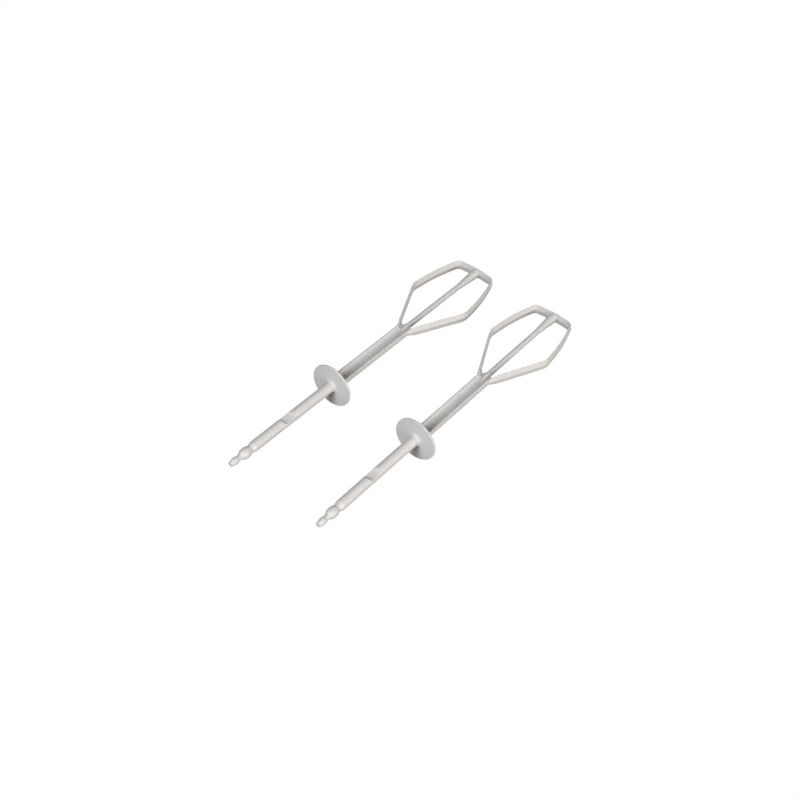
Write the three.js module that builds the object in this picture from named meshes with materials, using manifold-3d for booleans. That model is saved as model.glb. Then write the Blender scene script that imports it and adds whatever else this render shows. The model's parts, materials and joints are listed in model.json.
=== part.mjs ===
// A pair of moulded plastic beaters for a hand mixer, lying side by side on a flat surface.
//
// Each beater is modelled straight first, in its own frame: +X runs along the shank from the nose to the
// crown of the loop, Y runs across the flat loop, and Z stands square to the loop. It is then tipped so
// that it rests on the rim of its splash disc and on the lower edge of its crown. Millimetres, +Z up.
import * as THREE from "three";
import { mergeVertices } from "three/addons/utils/BufferGeometryUtils.js";
import Module from "manifold-3d";

const wasm = await Module();
wasm.setup();

// ---------- driving dimensions ----------
const GAP = 0.3; // between the solids of one moulding

const OVERALL = 202; // nose to the outer face of the crown
const SHANK_R = 2.87;

const NOSE_TIP_R = 1.3;
const NOSE_R = 1.95;
const NECK_R = 1.6;
const NOSE_FULL = 3.3; // where the nose reaches its full radius
const NOSE_BACK = 4.2;
const NECK_FRONT = 5;
const NECK_BACK = 7.4;
const BALL_R = 2.95;
const BALL_X = 10.7; // where the ball is thickest
const BALL_FRONT_REACH = 2.95; // from there to the neck's end
const BALL_BACK_REACH = 3.3;
const BALL_SQUARENESS = 2.6; // 2 would be a true ellipse
const GROOVE_R = 2.2;
const GROOVE_X = 14.1;
const CHAMFER_FRONT = 14.8;
const CHAMFER_BACK = 16.9;
const CHAMFER_R = 2.35;

const NOTCH_FRONT = 37.3; // at the top of the shank
const NOTCH_SLOPE = 1; // the front wall leans back by this much for each millimetre of depth
const NOTCH_FLOOR = 1.1; // height of the deepest line above the shank's axis
const NOTCH_BACK = 46.2;

const DISC_X = 76.2; // the disc's front face
const DISC_R = 12.5;
const DISC_THICK = 1.2;
const DISC_EDGE = 0.25; // rounding of the rim
const HUB_FILLET = 2;

const STEM_HALF_WIDTH = 3.85;
const STEM_HALF_HEIGHT = 1.64;
const TROUGH_HALF_WIDTH = 2.85; // the round hollow along the stem, above and below
const TROUGH_DEPTH = 1.14;
const FORK_X = 134.7; // where the stem's flanges turn out into the arms
const FORK_HALF_WIDTH = 3.2; // from there to the middle of each arm

const BAND_HALF_HEIGHT = 2.95; // the loop's band, seen from its edge
const BAND_RIDGE = 1.6; // thickness at the middle of the band
const BAND_EDGE = 0.5;
const SHOULDER_X = 167.4;
const SHOULDER_HALF_WIDTH = 18.8;
const SHOULDER_ROUND = 3.4;
const SIDE_BOW = 0.8; // how far each side of the loop curves out of straight
const CORNER_X = 200.1;
const CORNER_HALF_WIDTH = 12.2;
const CORNER_ROUND = 3;
const BAND_STEPS = 150;
const FORK_TAPER = 7; // in this length each arm grows from the stem's height to the band's

const BAR_R = 1.52;
const FLARE_X = 184;
const FLARE_HALF_WIDTH = 2.9;

const SPACING = 58.9; // between the two noses
const STAGGER = 1; // how far the second beater lies behind the first
const TOE_IN = THREE.MathUtils.degToRad(0.6);

const ROUND_SIDES = 48;
const BAR_SIDES = 24;
const BALL_STEPS = 8;
const FILLET_STEPS = 6;
const TROUGH_STEPS = 12;

const PLASTIC = { color: 0xd6d2ca, roughness: 0.42, metalness: 0 };

// ---------- solids ----------
// A closed geometry as a manifold-3d solid.
function solid(geometry) {
  const bare = geometry.clone();
  bare.deleteAttribute("normal");
  bare.deleteAttribute("uv");
  const merged = mergeVertices(bare, 1e-3);
  const vertProperties = new Float32Array(merged.attributes.position.array);
  const triVerts = new Uint32Array(merged.index.array);
  return new wasm.Manifold(new wasm.Mesh({ numProp: 3, vertProperties, triVerts }));
}

function geometryOf(body) {
  const mesh = body.getMesh();
  const made = new THREE.BufferGeometry();
  made.setAttribute("position", new THREE.BufferAttribute(new Float32Array(mesh.vertProperties), 3));
  made.setIndex(new THREE.BufferAttribute(new Uint32Array(mesh.triVerts), 1));
  made.computeVertexNormals();
  return made;
}

// A profile of [distance along X, radius] pairs, turned about the X axis.
function turned(profile, sides) {
  const points = profile.map(([x, radius]) => new THREE.Vector2(radius, x));
  return solid(new THREE.LatheGeometry(points, sides).rotateZ(-Math.PI / 2));
}

// An outline in the X-Y plane, standing from -halfHeight to +halfHeight.
function plan(outline, halfHeight) {
  const shape = outline instanceof THREE.Shape ? outline : shapeOf(outline);
  const made = new THREE.ExtrudeGeometry(shape, { depth: 2 * halfHeight, bevelEnabled: false });
  return solid(made.translate(0, 0, -halfHeight));
}

// An outline in the X-Z plane, reaching from -halfWidth to +halfWidth in Y.
function elevation(outline, halfWidth) {
  const made = new THREE.ExtrudeGeometry(shapeOf(outline), { depth: 2 * halfWidth, bevelEnabled: false });
  return solid(made.translate(0, 0, -halfWidth).rotateX(Math.PI / 2));
}

function shapeOf(outline) {
  return new THREE.Shape(outline.map(([x, y]) => new THREE.Vector2(x, y)));
}

// A quarter round from one point to another, as [x, y] pairs, about the given centre.
function arc(centreX, centreY, radius, from, to, steps) {
  return Array.from({ length: steps + 1 }, (_, i) => {
    const angle = from + ((to - from) * i) / steps;
    return [centreX + radius * Math.cos(angle), centreY + radius * Math.sin(angle)];
  });
}

// ---------- the pieces of one beater ----------
// One side of the barrel-shaped ball, from its thickest ring to the radius where it ends.
function ballSide(reach, direction, endR) {
  const radius = (t) => BALL_R * (1 - t ** BALL_SQUARENESS) ** (1 / BALL_SQUARENESS);
  const last = (1 - (endR / BALL_R) ** BALL_SQUARENESS) ** (1 / BALL_SQUARENESS);
  return Array.from({ length: BALL_STEPS }, (_, i) => {
    const t = last * Math.sin((Math.PI / 2) * ((i + 1) / BALL_STEPS));
    return [BALL_X + direction * reach * t, radius(t)];
  });
}

// Flat-ended nose, neck and ball: what the mixer's spindle takes hold of.
function driveNose() {
  return turned(
    [
      [0, 0],
      [0, NOSE_TIP_R],
      [NOSE_FULL, NOSE_R],
      [NOSE_BACK, NOSE_R],
      [NECK_FRONT, NECK_R],
      [NECK_BACK, NECK_R],
      ...ballSide(BALL_FRONT_REACH, -1, NECK_R).reverse(),
      [BALL_X, BALL_R],
      ...ballSide(BALL_BACK_REACH, 1, GROOVE_R),
      [GROOVE_X, GROOVE_R],
      [GROOVE_X, 0],
    ],
    ROUND_SIDES,
  );
}

// Front wall leaning back to the notch's floor, then a hollow ramp up to the top of the shank.
function notchOutline() {
  const floorX = NOTCH_FRONT + NOTCH_SLOPE * (SHANK_R - NOTCH_FLOOR);
  const ramp = new THREE.QuadraticBezierCurve(
    new THREE.Vector2(floorX + 0.8, NOTCH_FLOOR),
    new THREE.Vector2(NOTCH_BACK - 1.6, NOTCH_FLOOR + 0.4),
    new THREE.Vector2(NOTCH_BACK, SHANK_R),
  );
  const above = SHANK_R + 1;
  return [
    [NOTCH_FRONT - NOTCH_SLOPE, above],
    [floorX, NOTCH_FLOOR],
    ...ramp.getPoints(FILLET_STEPS).map((p) => [p.x, p.y]),
    [NOTCH_BACK, above],
  ];
}

function shank() {
  const rod = turned(
    [
      [GROOVE_X + GAP, 0],
      [GROOVE_X + GAP, GROOVE_R],
      [CHAMFER_FRONT, CHAMFER_R],
      [CHAMFER_BACK, SHANK_R],
      [DISC_X - HUB_FILLET - GAP, SHANK_R],
      [DISC_X - HUB_FILLET - GAP, 0],
    ],
    ROUND_SIDES,
  );
  return rod.subtract(elevation(notchOutline(), 2 * SHANK_R));
}

// Thin round collar whose hub runs into the shank through a fillet.
function splashDisc() {
  const hubX = DISC_X - HUB_FILLET;
  const back = DISC_X + DISC_THICK;
  return turned(
    [
      [hubX, 0],
      ...arc(hubX, SHANK_R + HUB_FILLET, HUB_FILLET, -Math.PI / 2, 0, FILLET_STEPS),
      [DISC_X, DISC_R - DISC_EDGE],
      [DISC_X + DISC_EDGE, DISC_R],
      [back - DISC_EDGE, DISC_R],
      [back, DISC_R - DISC_EDGE],
      [back, 0],
    ],
    ROUND_SIDES,
  );
}

// A flat stem with a round hollow along its top and bottom, so that only its flanges are thick.
function stem() {
  const radius = (TROUGH_HALF_WIDTH ** 2 + TROUGH_DEPTH ** 2) / (2 * TROUGH_DEPTH);
  const half = Math.asin(TROUGH_HALF_WIDTH / radius);
  const centreZ = STEM_HALF_HEIGHT - TROUGH_DEPTH + radius;
  const upper = [
    [STEM_HALF_WIDTH, STEM_HALF_HEIGHT],
    ...arc(0, centreZ, radius, half - Math.PI / 2, -half - Math.PI / 2, TROUGH_STEPS),
    [-STEM_HALF_WIDTH, STEM_HALF_HEIGHT],
  ];
  const lower = [...upper].reverse().map(([y, z]) => [y, -z]);
  const front = DISC_X + DISC_THICK + GAP;
  const made = new THREE.ExtrudeGeometry(shapeOf([...upper, ...lower]), {
    depth: FORK_X - front,
    bevelEnabled: false,
  });
  return solid(made.rotateX(Math.PI / 2).rotateZ(Math.PI / 2).translate(front, 0, 0));
}

// The middle line of the band: up one arm and side, over the crown and down the other side.
function bandPath() {
  const crownX = OVERALL - BAND_RIDGE / 2;
  const half = [
    new THREE.Vector3(FORK_X + GAP, FORK_HALF_WIDTH, 0),
    new THREE.Vector3(SHOULDER_X, SHOULDER_HALF_WIDTH, 0),
    new THREE.Vector3(CORNER_X, CORNER_HALF_WIDTH, 0),
    new THREE.Vector3(crownX, 0, 0),
  ];
  const mirrored = half.slice(0, 3).reverse().map((p) => new THREE.Vector3(p.x, -p.y, 0));
  const corners = [...half, ...mirrored];
  const rounds = [0, SHOULDER_ROUND, CORNER_ROUND, CORNER_ROUND, CORNER_ROUND, SHOULDER_ROUND, 0];
  const bows = [0, SIDE_BOW, 0, 0, SIDE_BOW, 0];
  const path = new THREE.CurvePath();
  const toward = (from, to, distance) => to.clone().sub(from).setLength(distance).add(from);
  for (let i = 0; i < corners.length - 1; i++) {
    const start = rounds[i] ? toward(corners[i], corners[i + 1], rounds[i]) : corners[i];
    const end = rounds[i + 1] ? toward(corners[i + 1], corners[i], rounds[i + 1]) : corners[i + 1];
    const out = new THREE.Vector3(start.y - end.y, end.x - start.x, 0).setLength(2 * bows[i] || 1e-6);
    const middle = start.clone().lerp(end, 0.5).add(out);
    path.add(new THREE.QuadraticBezierCurve3(start, middle, end));
    if (rounds[i + 1]) {
      const next = toward(corners[i + 1], corners[i + 2], rounds[i + 1]);
      path.add(new THREE.QuadraticBezierCurve3(end, corners[i + 1], next));
    }
  }
  return path;
}

// One band, thickest along its middle line, bent into the whole loop.
function wholeLoop() {
  const section = shapeOf([
    [-BAND_HALF_HEIGHT, -BAND_EDGE / 2],
    [0, -BAND_RIDGE / 2],
    [BAND_HALF_HEIGHT, -BAND_EDGE / 2],
    [BAND_HALF_HEIGHT, BAND_EDGE / 2],
    [0, BAND_RIDGE / 2],
    [-BAND_HALF_HEIGHT, BAND_EDGE / 2],
  ]);
  return solid(new THREE.ExtrudeGeometry(section, { steps: BAND_STEPS, extrudePath: bandPath() }));
}

// The straight lengths of the loop, parted along the lines that halve its shoulders and corners.
function loopPieces() {
  const loop = wholeLoop();
  const reach = 30; // past every part of the loop
  const tall = 2 * BAND_HALF_HEIGHT;
  const half = GAP / 2;
  const insideX = 175; // a point of the loop's middle line that both parting lines aim at
  const shoulderOut = toEdge(insideX, SHOULDER_X, SHOULDER_HALF_WIDTH, reach);
  const cornerOut = toEdge(insideX, CORNER_X, CORNER_HALF_WIDTH, reach);
  const regions = {
    arm: [[FORK_X, 0.1], [insideX - half, 0.1], [shoulderOut[0] - half, shoulderOut[1]], [FORK_X, reach]],
    side: [
      [insideX + half, 0.1],
      [cornerOut[0] - half, cornerOut[1] + half],
      [cornerOut[0], reach + 1],
      [shoulderOut[0] + half, shoulderOut[1]],
    ],
    crown: [[insideX + 2 * half, 0], [cornerOut[0] + half, cornerOut[1] - half], [OVERALL + 1, 0]],
  };
  const mirror = (outline) => [...outline].reverse().map(([x, y]) => [x, -y]);
  const taper = elevation(
    [
      [FORK_X, -STEM_HALF_HEIGHT],
      [FORK_X + FORK_TAPER, -tall / 2],
      [SHOULDER_X + reach, -tall / 2],
      [SHOULDER_X + reach, tall / 2],
      [FORK_X + FORK_TAPER, tall / 2],
      [FORK_X, STEM_HALF_HEIGHT],
    ],
    reach,
  );
  const arm = (outline) => loop.intersect(plan(outline, tall)).intersect(taper);
  const crownOutline = [...regions.crown, ...mirror(regions.crown).slice(1, 2)];
  return {
    left_arm: arm(regions.arm),
    right_arm: arm(mirror(regions.arm)),
    left_side: loop.intersect(plan(regions.side, tall)),
    right_side: loop.intersect(plan(mirror(regions.side), tall)),
    crown: loop.intersect(plan(crownOutline, tall)),
  };
}

// The point at height y on the line from [x0, 0] through [x1, y1].
function toEdge(x0, x1, y1, y) {
  return [x0 + ((x1 - x0) * y) / y1, y];
}

// Round bar up the middle of the loop, spreading to the band's full height where it meets the crown.
function centreBar() {
  const front = FORK_X + GAP;
  const back = OVERALL - BAND_RIDGE - GAP;
  const rod = turned([[front, 0], [front, BAR_R], [back, BAR_R], [back, 0]], BAR_SIDES);
  const spread = (end) => [
    [FLARE_X, 0.9 * BAR_R],
    [FLARE_X + (back - FLARE_X) / 2, BAR_R + 0.4 * (end - BAR_R)],
    [back, end],
  ];
  const outline = (end) => [...spread(end).map(([x, y]) => [x, -y]), ...spread(end).reverse()];
  const flare = plan(outline(FLARE_HALF_WIDTH), BAND_HALF_HEIGHT);
  return rod.add(flare.intersect(elevation(outline(BAND_HALF_HEIGHT), FLARE_HALF_WIDTH)));
}

const PIECES = {
  drive_nose: driveNose(),
  shank: shank(),
  splash_disc: splashDisc(),
  stem: stem(),
  ...loopPieces(),
  centre_bar: centreBar(),
};

// ---------- the pair at rest ----------
// The disc's rim and the crown's lower edge touch the surface together.
const CROWN_EDGE_X = OVERALL - (BAND_RIDGE - BAND_EDGE) / 2;
const DISC_BACK_X = DISC_X + DISC_THICK - DISC_EDGE;
const PITCH = Math.atan((DISC_R - BAND_HALF_HEIGHT) / (CROWN_EDGE_X - DISC_BACK_X));

function beater(number) {
  const group = new THREE.Group();
  for (const [name, body] of Object.entries(PIECES)) {
    const mesh = new THREE.Mesh(geometryOf(body), new THREE.MeshStandardMaterial(PLASTIC));
    mesh.name = `beater_${number}_${name}`;
    group.add(mesh);
  }
  group.rotation.set(0, PITCH, 0, "ZYX");
  return group;
}

const pair = new THREE.Group();
const first = beater(1);
first.position.set(0, SPACING / 2, 0);
first.rotation.z = -TOE_IN;
const second = beater(2);
second.position.set(-STAGGER, -SPACING / 2, 0);
second.rotation.z = TOE_IN;
pair.add(first, second);

// The origin is the middle of the pair's footprint, on the surface that it lies on.
pair.updateMatrixWorld(true);
const box = new THREE.Box3().setFromObject(pair, true);
const middle = box.getCenter(new THREE.Vector3());
pair.position.set(-middle.x, -middle.y, -box.min.z);

export default pair;
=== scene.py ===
# %% [markdown]
# # A pair of moulded beaters
# Two identical beaters for a hand mixer lie side by side, noses to the left and loops to the right. Each is
# one moulding in off-white plastic: a round drive shank with a ball and a notch, a thin splash disc, a stem
# with an H section, and a flat loop of band with a round bar up its middle.
#
# Each beater is drawn straight and level first, in millimetres from the end of its nose, because its sizes
# are then plain numbers: x along the shank, y across the loop, z square to the loop. Only at the end is it
# scaled to metres and put where the frame says that its nose is.

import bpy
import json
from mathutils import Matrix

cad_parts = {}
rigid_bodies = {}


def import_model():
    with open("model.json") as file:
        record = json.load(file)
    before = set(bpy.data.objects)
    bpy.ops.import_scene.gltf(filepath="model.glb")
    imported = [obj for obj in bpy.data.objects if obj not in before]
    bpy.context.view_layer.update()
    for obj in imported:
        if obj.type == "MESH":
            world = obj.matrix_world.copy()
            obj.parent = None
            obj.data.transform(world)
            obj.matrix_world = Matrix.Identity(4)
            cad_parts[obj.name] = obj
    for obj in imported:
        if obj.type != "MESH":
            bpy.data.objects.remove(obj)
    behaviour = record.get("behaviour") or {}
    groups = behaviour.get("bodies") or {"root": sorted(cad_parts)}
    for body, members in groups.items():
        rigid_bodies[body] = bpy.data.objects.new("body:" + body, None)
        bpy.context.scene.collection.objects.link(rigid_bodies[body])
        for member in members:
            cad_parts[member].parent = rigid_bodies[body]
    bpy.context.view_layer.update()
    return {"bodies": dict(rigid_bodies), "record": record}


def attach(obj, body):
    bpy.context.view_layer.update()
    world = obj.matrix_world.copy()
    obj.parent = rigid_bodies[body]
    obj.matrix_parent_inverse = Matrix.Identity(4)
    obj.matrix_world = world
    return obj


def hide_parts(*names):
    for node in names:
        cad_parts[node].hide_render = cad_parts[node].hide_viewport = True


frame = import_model()

# %% Modules
import json
import math

import bmesh
import bpy
from mathutils import Matrix, Vector
from mathutils.geometry import interpolate_bezier

MM = 0.001

# %% [markdown]
# ## Where each beater lies
# The record of the frame says where the flat end of each nose is and which way it faces. The shank runs the
# other way from there, and the loop lies level across it. Three directions and a point make the matrix that
# carries a straight, level beater to its place, so nothing has to be fitted by eye.

# %% Placing matrices
MOUNTS = {m["name"]: m for m in frame["record"]["mounts"]}


def placing(beater):
    nose = MOUNTS[f"{beater}_nose_end"]
    along = -Vector(nose["axis"]).normalized()
    across = Vector((0, 0, 1)).cross(along).normalized()
    up = along.cross(across)
    turned = Matrix((along, across, up)).transposed().to_4x4()
    return Matrix.Translation(nose["pos_m"]) @ turned @ Matrix.Scale(MM, 4)


for beater in frame["bodies"]:
    print(beater, "nose at", [round(v / MM, 2) for v in placing(beater).translation], "mm")

# %% [markdown]
# ## Two ways to make a moulding
# Nearly everything here is either turned or swept. A turned shape starts as a thin outline of half its
# section, whose corners are rounded by a vertex bevel, and is spun about the shank's axis. A swept shape
# starts as a closed section, and its edges are extruded from one station of a path to the next. Both leave
# a mesh that is closed and whose faces all point out.

# %% Turning
def closed_up(bm):
    bmesh.ops.remove_doubles(bm, verts=bm.verts, dist=1e-4)
    bmesh.ops.recalc_face_normals(bm, faces=bm.faces)
    return bm


def turned(outline, rounding=(), steps=96):
    """outline: (x, radius) from axis to axis. rounding: {index of a corner: radius of its rounding}."""
    bm = bmesh.new()
    points = [bm.verts.new((x, 0, r)) for x, r in outline]
    for a, b in zip(points, points[1:]):
        bm.edges.new((a, b))
    for corner, radius in dict(rounding).items():
        bmesh.ops.bevel(
            bm,
            geom=[points[corner]],
            offset=radius,
            offset_type="OFFSET",
            segments=5,
            profile=0.5,
            affect="VERTICES",
            material=-1,
        )
    bmesh.ops.spin(
        bm,
        geom=bm.verts[:] + bm.edges[:],
        cent=(0, 0, 0),
        axis=(1, 0, 0),
        angle=2 * math.pi,
        steps=steps,
        use_merge=True,
    )
    return closed_up(bm)


# %% Sweeping
def swept(section, stations):
    """section: (across, up) round the outline. stations: a matrix for each step, x along the path."""
    bm = bmesh.new()
    ring = [bm.verts.new((0, y, z)) for y, z in section]
    first = bm.faces.new(ring)
    bmesh.ops.transform(bm, matrix=stations[0], verts=ring)
    edges = first.edges[:]
    for before, after in zip(stations, stations[1:]):
        made = bmesh.ops.extrude_edge_only(bm, edges=edges)["geom"]
        moved = [v for v in made if isinstance(v, bmesh.types.BMVert)]
        bmesh.ops.transform(bm, matrix=after @ before.inverted(), verts=moved)
        new_edges = [e for e in made if isinstance(e, bmesh.types.BMEdge)]
        edges = [e for e in new_edges if all(v in moved for v in e.verts)]
    bmesh.ops.contextual_create(bm, geom=edges)
    return closed_up(bm)


# %% Keeping a finished shape
def as_object(bm, name):
    mesh = bpy.data.meshes.new(name)
    bm.to_mesh(mesh)
    bm.free()
    made = bpy.data.objects.new(name, mesh)
    bpy.context.scene.collection.objects.link(made)
    mesh.shade_smooth()
    return made


def settled(made):
    """Bakes the object's modifiers into its mesh."""
    graph = bpy.context.evaluated_depsgraph_get()
    mesh = bpy.data.meshes.new_from_object(made.evaluated_get(graph))
    made.modifiers.clear()
    old = made.data
    made.data = mesh
    bpy.data.meshes.remove(old)
    return made


# %% [markdown]
# ## The drive shank
# The mixer takes hold of this end. A blunt nose and a slim neck centre it in the socket, a spring clip snaps
# over the ball, and a groove and a long chamfer lead into the full shank. All of it is round, so it is one
# turned outline. The notch in the top of the shank is cut last, with a wedge that is swept across it: its
# front wall leans at 45 degrees and a hollow ramp runs back up to the surface.

# %% Sizes of the shank
SHANK_R = 2.87
NECK_R = 1.6
GROOVE_R = 2.2
DISC_X = 76.2
DISC_R = 12.5
DISC_THICK = 1.2
HUB_FILLET = 2.0


def arc(centre_x, centre_r, radius, start, end, steps):
    """(x, radius) points round part of a circle in the outline, with angles in degrees."""
    angles = [math.radians(start + (end - start) * i / steps) for i in range(steps + 1)]
    return [(centre_x + radius * math.cos(a), centre_r + radius * math.sin(a)) for a in angles]


# (x, radius, rounding of that corner), from the nose to the groove behind the ball and the chamfer after it
DRIVE_END = [
    (0, 0, 0),
    (0, 1.3, 0.15),
    (0.35, 1.48, 0),
    (3.3, 1.95, 0.5),
    (4.2, 1.95, 0.35),
    (5.0, NECK_R, 0.35),
    (7.45, NECK_R, 0.25),
    (8.2, 2.38, 0.35),
    (9.3, 2.82, 0.5),
    (10.7, 2.95, 0.6),
    (12.4, 2.82, 0.45),
    (13.35, 2.5, 0.25),
    (13.85, GROOVE_R, 0.2),
    (14.75, GROOVE_R, 0.3),
    (16.8, SHANK_R, 0.5),
]
OVERLAP = 0.6  # how far one piece runs into the next, so that no gap shows


def shank():
    end = [(DISC_X + OVERLAP, SHANK_R, 0), (DISC_X + OVERLAP, 0, 0)]
    corners = DRIVE_END + end
    rounding = {i: soft for i, (_, _, soft) in enumerate(corners) if soft}
    return turned([(x, r) for x, r, _ in corners], rounding)


# %% Cut the notch
NOTCH_FRONT, NOTCH_BACK = 37.3, 46.2
NOTCH_FLOOR = 1.1  # above the shank's axis
CUTTER_HALF_WIDTH = 4


def notch_cutter():
    depth = SHANK_R - NOTCH_FLOOR
    floor = Vector((NOTCH_FRONT + depth, NOTCH_FLOOR, 0))
    foot = floor + Vector((0.8, 0, 0))
    top = Vector((NOTCH_BACK, SHANK_R, 0))
    ramp = interpolate_bezier(foot, foot + Vector((2.6, 0, 0)), top - Vector((1.4, 1.0, 0)), top, 12)
    lip = Vector((NOTCH_FRONT - 1, SHANK_R + 1, 0))
    outline = [lip, floor, *ramp, top + Vector((0, 1, 0))]
    across = Matrix.Rotation(math.radians(90), 4, "Z")
    section = [(-p.x, p.y) for p in outline]
    sides = (-CUTTER_HALF_WIDTH, CUTTER_HALF_WIDTH)
    return swept(section, [Matrix.Translation((0, y, 0)) @ across for y in sides])


def drive_shank(name):
    made = as_object(shank(), name)
    cutter = as_object(notch_cutter(), "notch_cutter")
    cut = made.modifiers.new("notch", "BOOLEAN")
    cut.object = cutter
    cut.operation = "DIFFERENCE"
    cut.solver = "EXACT"
    settled(made)
    bpy.data.objects.remove(cutter)
    return made


# %% [markdown]
# ## The splash disc
# A thin round collar keeps batter from climbing into the mixer. Its front runs into the shank through a
# small fillet, and its rim is softened on both edges. It is one turned outline again.

# %% Splash disc
RIM_ROUND = 0.3


def splash_disc(name):
    hub = arc(DISC_X - HUB_FILLET, SHANK_R + HUB_FILLET, HUB_FILLET, -90, 0, 10)
    back = DISC_X + DISC_THICK
    rim = [(DISC_X, DISC_R), (back, DISC_R), (back, 0)]
    outline = [(DISC_X - HUB_FILLET, 0), *hub, *rim]
    corner = len(hub) + 1
    return as_object(turned(outline, {corner: RIM_ROUND, corner + 1: RIM_ROUND}), name)


# %% [markdown]
# ## The whisk
# Behind the disc the moulding turns flat. The stem has a round hollow along its top and bottom, so that two
# thick flanges are left with a thin web between them. At the fork the flanges swing out and become the band
# of the loop, and a round bar rises from the web, runs up the middle and flares where it meets the crown.
#
# Each part is one closed shape. Boolean unions then join them into one skin, so nothing is left inside.

# %% The stem
STEM_HALF_WIDTH = 3.85
STEM_HALF_HEIGHT = 1.64
TROUGH_HALF_WIDTH = 2.85
TROUGH_DEPTH = 1.14
STEM_ROUND = 0.35
STEM_STEPS = 12
FORK_X = 134.7


def straight(stations):
    """One matrix for each (x, scale across, scale up) along the middle line."""
    return [Matrix.Translation((x, 0, 0)) @ Matrix.Diagonal((1, a, u, 1)) for x, a, u in stations]


def mirrored(quarter):
    """The whole closed outline, from the quarter of it that is above the middle and to one side."""
    top = quarter + [(-y, z) for y, z in reversed(quarter) if y > 1e-6]
    return top + [(y, -z) for y, z in reversed(top)]


def stem_section():
    w, h, r = STEM_HALF_WIDTH, STEM_HALF_HEIGHT, STEM_ROUND
    radius = (TROUGH_HALF_WIDTH**2 + TROUGH_DEPTH**2) / (2 * TROUGH_DEPTH)
    reach = math.degrees(math.asin(TROUGH_HALF_WIDTH / radius))
    outer = arc(w - r, h - r, r, 0, 90, 5)
    lip = [(TROUGH_HALF_WIDTH + 0.1, h - 0.01), (TROUGH_HALF_WIDTH - 0.05, h - 0.08)]
    trough = arc(0, h - TROUGH_DEPTH + radius, radius, reach - 92, -90, 12)
    return mirrored([*outer, *lip, *trough])


def stem():
    ends = (DISC_X + OVERLAP, FORK_X)
    steps = [ends[0] + (ends[1] - ends[0]) * i / STEM_STEPS for i in range(STEM_STEPS + 1)]
    return swept(stem_section(), straight([(x, 1, 1) for x in steps]))


# %% The loop's band
BAND_HALF_HEIGHT = 2.95
BAND_EDGE = 0.27
BAND_RIDGE = 0.8
FORK_HALF_WIDTH = 3.2
SHOULDER = Vector((167.4, 18.8, 0))
CORNER = Vector((200.1, 12.2, 0))
CROWN = Vector((201.2, 0, 0))
SIDE_BOW = 0.8
SHOULDER_ROUND, CORNER_ROUND = 3.4, 3.0
FORK_TAPER = 5  # in this length each arm grows from the stem's height to the band's
FORK_HEIGHT = (STEM_HALF_HEIGHT - 0.03) / BAND_HALF_HEIGHT


def softened(before, corner, after, reach, steps):
    start = corner + (before - corner).normalized() * reach
    end = corner + (after - corner).normalized() * reach
    return interpolate_bezier(start, start.lerp(corner, 0.67), end.lerp(corner, 0.67), end, steps)


def half_loop():
    fork = Vector((FORK_X - 0.6, FORK_HALF_WIDTH - 0.2, 0))
    shoulder = softened(fork, SHOULDER, CORNER, SHOULDER_ROUND, 9)
    corner = softened(SHOULDER, CORNER, CROWN, CORNER_ROUND, 9)
    arm = [fork.lerp(shoulder[0], i / 12) for i in range(12)]
    run = corner[0] - shoulder[-1]
    out = Vector((-run.y, run.x, 0)).normalized() * SIDE_BOW * 4 / 3
    third = run / 3
    bend = (shoulder[-1] + third + out, corner[0] - third + out)
    side = interpolate_bezier(shoulder[-1], *bend, corner[0], 16)
    crown = [corner[-1].lerp(CROWN, i / 4) for i in range(1, 5)]
    return [*arm, *shoulder, *side[1:-1], *corner, *crown]


def loop_stations():
    half = half_loop()
    path = half + [Vector((p.x, -p.y, 0)) for p in reversed(half[:-1])]
    stations = []
    for i, here in enumerate(path):
        come = (here - path[i - 1]).normalized() if i else (path[1] - here).normalized()
        go = (path[i + 1] - here).normalized() if i < len(path) - 1 else come
        along = (come + go).normalized()
        turn = Matrix.Rotation(math.atan2(along.y, along.x), 4, "Z")
        grown = min(max((here.x - FORK_X) / FORK_TAPER, 0), 1)
        tall = FORK_HEIGHT + (1 - FORK_HEIGHT) * grown
        stations.append(Matrix.Translation(here) @ turn @ Matrix.Diagonal((1, 1 / along.dot(go), tall, 1)))
    return stations


def band():
    h, edge, ridge = BAND_HALF_HEIGHT, BAND_EDGE, BAND_RIDGE
    ridge_round = [(ridge, 0.12), (ridge - 0.06, 0.3)]
    edge_round = [(edge + 0.04, h - 0.3), (edge, h - 0.12), (edge - 0.1, h)]
    return swept(mirrored(ridge_round + edge_round), loop_stations())


# %% The centre bar
BAR_R = 1.53
BAR_FROM = FORK_X - 0.5
BAR_RISE = 4  # in this length the bar rises out of the web
BAR_SIDES = 40
FLARE_X = 184
FLARE_HALF_WIDTH = 2.9


def centre_bar():
    angles = [math.tau * i / BAR_SIDES for i in range(BAR_SIDES)]
    circle = [(BAR_R * math.cos(a), BAR_R * math.sin(a)) for a in angles]
    wide = FLARE_HALF_WIDTH / BAR_R
    tall = (BAND_HALF_HEIGHT - 0.12) / BAR_R
    risen = BAR_FROM + BAR_RISE
    rise = [(BAR_FROM + BAR_RISE * t, *[0.35 + 0.65 * t**0.5] * 2) for t in (i / 8 for i in range(9))]
    run = [(risen + (FLARE_X - risen) * i / 20, 1, 1) for i in range(1, 20)]
    flare = []
    for i in range(13):
        t = i / 12
        flare.append((FLARE_X + (CROWN.x - FLARE_X) * t, 1 + (wide - 1) * t**1.1, 1 + (tall - 1) * t**1.3))
    return swept(circle, straight(rise + run + flare))


# %% [markdown]
# Where the arms leave the stem, the web runs on a little way and fills the two crotches of the fork. It is
# a plate whose outline is a few corners, and the ones that lie in the crotches are rounded by a vertex bevel
# before it gets its thickness.

# %% The fork's plate
FORK_PLATE = 0.5


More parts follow.
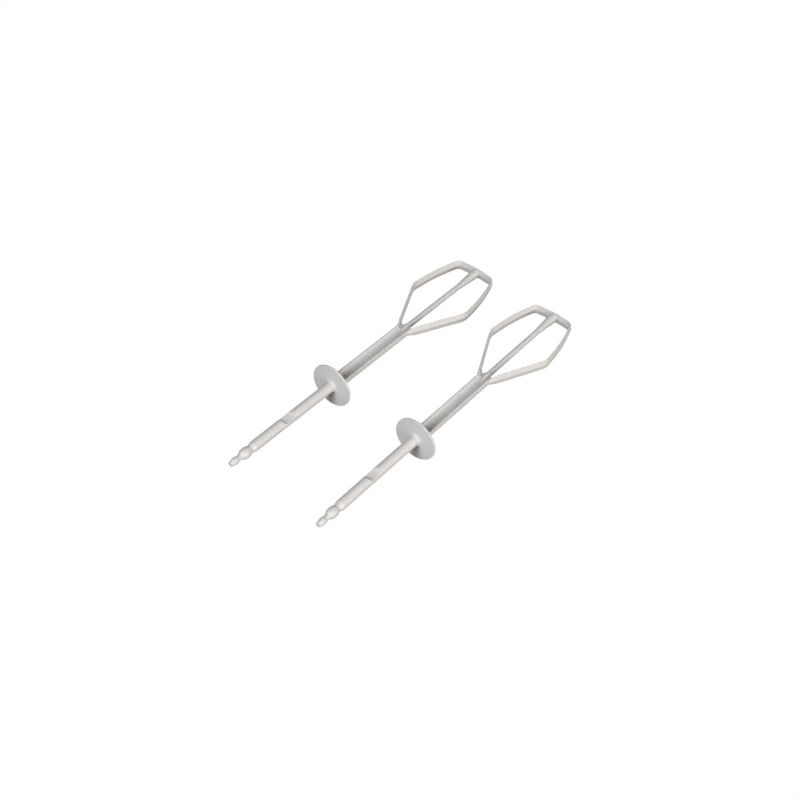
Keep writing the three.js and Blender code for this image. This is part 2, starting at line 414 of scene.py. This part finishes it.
def plate(outline, rounding, half_height):
    bm = bmesh.new()
    corners = [bm.verts.new((x, y, -half_height)) for x, y in outline]
    bm.faces.new(corners)
    for corner, reach in rounding.items():
        bmesh.ops.bevel(
            bm,
            geom=[corners[corner]],
            offset=reach,
            offset_type="OFFSET",
            segments=6,
            profile=0.5,
            affect="VERTICES",
            material=-1,
        )
    top = bmesh.ops.extrude_face_region(bm, geom=bm.faces[:])["geom"]
    top = [v for v in top if isinstance(v, bmesh.types.BMVert)]
    bmesh.ops.translate(bm, vec=(0, 0, 2 * half_height), verts=top)
    return closed_up(bm)


def fork_plate():
    half = [(FORK_X - 1, 3.0), (FORK_X + 7, 6.5), (FORK_X + 3, 2.5), (FORK_X + 7.5, 1.0)]
    outline = half + [(x, -y) for x, y in reversed(half)]
    return plate(outline, {2: 1.7, 5: 1.7}, FORK_PLATE)


# %% Join the whisk
def united(objects):
    """The first object, joined with all the others into one skin."""
    whole = objects[0]
    for other in objects[1:]:
        join = whole.modifiers.new("join", "BOOLEAN")
        join.object = other
        join.operation = "UNION"
        join.solver = "EXACT"
        settled(whole)
        bpy.data.objects.remove(other)
    return whole


def whisk(name):
    return united([as_object(bm, name) for bm in (band(), stem(), fork_plate(), centre_bar())])


# %% [markdown]
# ## The plastic
# The beaters are moulded in a warm off-white plastic with a satin skin. Close up it isn't one flat colour:
# the tone wanders a little, and the skin has a very fine pebble from the mould that breaks up reflections.
# Both come from noise in one node group, and all the pieces share the one plastic that uses it.

# %% The moulded skin, as a node group
def skin_group():
    group = bpy.data.node_groups.new("moulded skin", "ShaderNodeTree")
    face = group.interface
    face.new_socket("Place", in_out="INPUT", socket_type="NodeSocketVector")
    for name, value in (("Light tone", (0.8, 0.79, 0.77, 1)), ("Deep tone", (0.7, 0.68, 0.65, 1))):
        face.new_socket(name, in_out="INPUT", socket_type="NodeSocketColor").default_value = value
    for name in ("Roughness", "Pebble"):
        face.new_socket(name, in_out="INPUT", socket_type="NodeSocketFloat").default_value = 0.4
    face.new_socket("Colour", in_out="OUTPUT", socket_type="NodeSocketColor")
    face.new_socket("Roughness", in_out="OUTPUT", socket_type="NodeSocketFloat")
    face.new_socket("Height", in_out="OUTPUT", socket_type="NodeSocketFloat")
    nodes, links = group.nodes, group.links
    given = nodes.new("NodeGroupInput")
    out = nodes.new("NodeGroupOutput")

    def noise(scale, detail):
        made = nodes.new("ShaderNodeTexNoise")
        made.inputs["Scale"].default_value = scale
        made.inputs["Detail"].default_value = detail
        links.new(given.outputs["Place"], made.inputs["Vector"])
        return made.outputs["Fac"]

    def maths(kind, a, b):
        made = nodes.new("ShaderNodeMath")
        made.operation = kind
        for socket, value in zip(made.inputs, (a, b)):
            if isinstance(value, (int, float)):
                socket.default_value = value
            else:
                links.new(value, socket)
        return made.outputs[0]

    tone = nodes.new("ShaderNodeMix")
    tone.data_type = "RGBA"
    links.new(noise(70, 3), tone.inputs["Factor"])
    links.new(given.outputs["Light tone"], tone.inputs["A"])
    links.new(given.outputs["Deep tone"], tone.inputs["B"])
    links.new(tone.outputs["Result"], out.inputs["Colour"])
    wander = maths("MULTIPLY_ADD", noise(400, 4), 0.12)
    wander.node.inputs[2].default_value = -0.06
    links.new(maths("ADD", wander, given.outputs["Roughness"]), out.inputs["Roughness"])
    links.new(maths("MULTIPLY", noise(2500, 2), given.outputs["Pebble"]), out.inputs["Height"])
    return group


SKIN = skin_group()


def plastic(name, light, deep, roughness=0.48, pebble=0.12):
    made = bpy.data.materials.new(name)
    made.use_nodes = True
    nodes, links = made.node_tree.nodes, made.node_tree.links
    shader = nodes["Principled BSDF"]
    shader.inputs["IOR"].default_value = 1.49
    skin = nodes.new("ShaderNodeGroup")
    skin.node_tree = SKIN
    skin.inputs["Light tone"].default_value = (*light, 1)
    skin.inputs["Deep tone"].default_value = (*deep, 1)
    skin.inputs["Roughness"].default_value = roughness
    skin.inputs["Pebble"].default_value = pebble
    place = nodes.new("ShaderNodeTexCoord")
    links.new(place.outputs["Object"], skin.inputs["Place"])
    bump = nodes.new("ShaderNodeBump")
    bump.inputs["Strength"].default_value = 0.25
    bump.inputs["Distance"].default_value = 0.00003
    links.new(skin.outputs["Height"], bump.inputs["Height"])
    links.new(skin.outputs["Colour"], shader.inputs["Base Color"])
    links.new(skin.outputs["Roughness"], shader.inputs["Roughness"])
    links.new(bump.outputs["Normal"], shader.inputs["Normal"])
    return made


PLASTIC = plastic("satin off-white plastic", (0.565, 0.548, 0.538), (0.54, 0.523, 0.513))

# %% [markdown]
# ## Putting the pieces in place
# Each shape is made once for each beater, carried to its place, and told which body it rides on, and the
# solids of the frame that it stands for are hidden. Its mesh is moved and not its object, so that its
# pattern stays with it.

# %% Both beaters
SHARP = 32  # degrees: edges that turn more than this stay crisp
PIECES = {
    "drive_shank": (drive_shank, ("drive_nose", "shank")),
    "splash_collar": (splash_disc, ("splash_disc",)),
    "whisk": (
        whisk,
        ("stem", "left_arm", "left_side", "right_arm", "right_side", "crown", "centre_bar"),
    ),
}

for beater in frame["bodies"]:
    for piece, (make, nodes) in PIECES.items():
        made = make(f"{beater}_{piece}")
        made.data.transform(placing(beater))
        made.data.shade_smooth()
        made.data.set_sharp_from_angle(angle=math.radians(SHARP))
        made.data.materials.clear()
        made.data.materials.append(PLASTIC)
        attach(made, beater)
        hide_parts(*(f"{beater}_{node}" for node in nodes))
        print(made.name, len(made.data.polygons), "faces")

# %% [markdown]
# ## Floor, light and camera
# The floor is pure white and takes no shadow. A broad cool light at the noses' end throws the shadow of each
# disc onto the stem behind it, a low warm one from the right lights the loops' bars, and a faint one from
# behind and the dim surroundings keep the shaded faces from going black.

# %% Floor
FLOOR_GLOW = 1.0
FLOOR_HALF_SIZE = 3

floor_bm = bmesh.new()
bmesh.ops.create_grid(floor_bm, x_segments=1, y_segments=1, size=FLOOR_HALF_SIZE)
floor = as_object(floor_bm, "floor")
floor.location.z = -0.0002
floor.visible_diffuse = False
floor.visible_glossy = False
paint = bpy.data.materials.new("pale lit floor")
paint.use_nodes = True
shader = paint.node_tree.nodes["Principled BSDF"]
shader.inputs["Base Color"].default_value = (0, 0, 0, 1)
shader.inputs["Specular IOR Level"].default_value = 0
shader.inputs["Emission Color"].default_value = (1, 1, 1, 1)
shader.inputs["Emission Strength"].default_value = FLOOR_GLOW
floor.data.materials.append(paint)

# %% Lights


def soft_light(name, place, width, height, watts, colour):
    light = bpy.data.lights.new(name, "AREA")
    light.shape = "RECTANGLE"
    light.size = width
    light.size_y = height
    light.energy = watts
    light.color = colour
    made = bpy.data.objects.new(name, light)
    made.location = place
    made.rotation_euler = (-Vector(place)).to_track_quat("-Z", "Y").to_euler()
    bpy.context.scene.collection.objects.link(made)


COOL, WARM = (0.92, 0.955, 1.0), (1.0, 0.95, 0.88)
soft_light("key from the noses' end", (-0.90, 0, 0.80), 0.4, 0.6, 12.6, COOL)
soft_light("low fill from the right", (-0.03, -0.95, 0.3), 0.8, 0.4, 9.3, WARM)
soft_light("weak light from behind", (0.84, 0.6, 0.6), 0.6, 0.6, 0.8, COOL)
WORLD_GLOW = 0.21
world = bpy.data.worlds.new("studio")
world.use_nodes = True
world.node_tree.nodes["Background"].inputs["Color"].default_value = (1, 1, 1, 1)
world.node_tree.nodes["Background"].inputs["Strength"].default_value = WORLD_GLOW
bpy.context.scene.world = world
bpy.context.scene.view_settings.view_transform = "Standard"

# %% Camera
LENS = 75.05
CAMERA_AT = Vector((-457.95, -371.57, 661.4))
CAMERA_AIM = Vector((-0.25, 1.43, 0))
camera = bpy.data.objects.new("camera", bpy.data.cameras.new("camera"))
camera.data.sensor_width = 36
camera.data.lens = LENS
camera.location = CAMERA_AT * MM
aim = CAMERA_AIM * MM
camera.rotation_euler = (aim - camera.location).to_track_quat("-Z", "Y").to_euler()
bpy.context.scene.collection.objects.link(camera)
bpy.context.scene.camera = camera
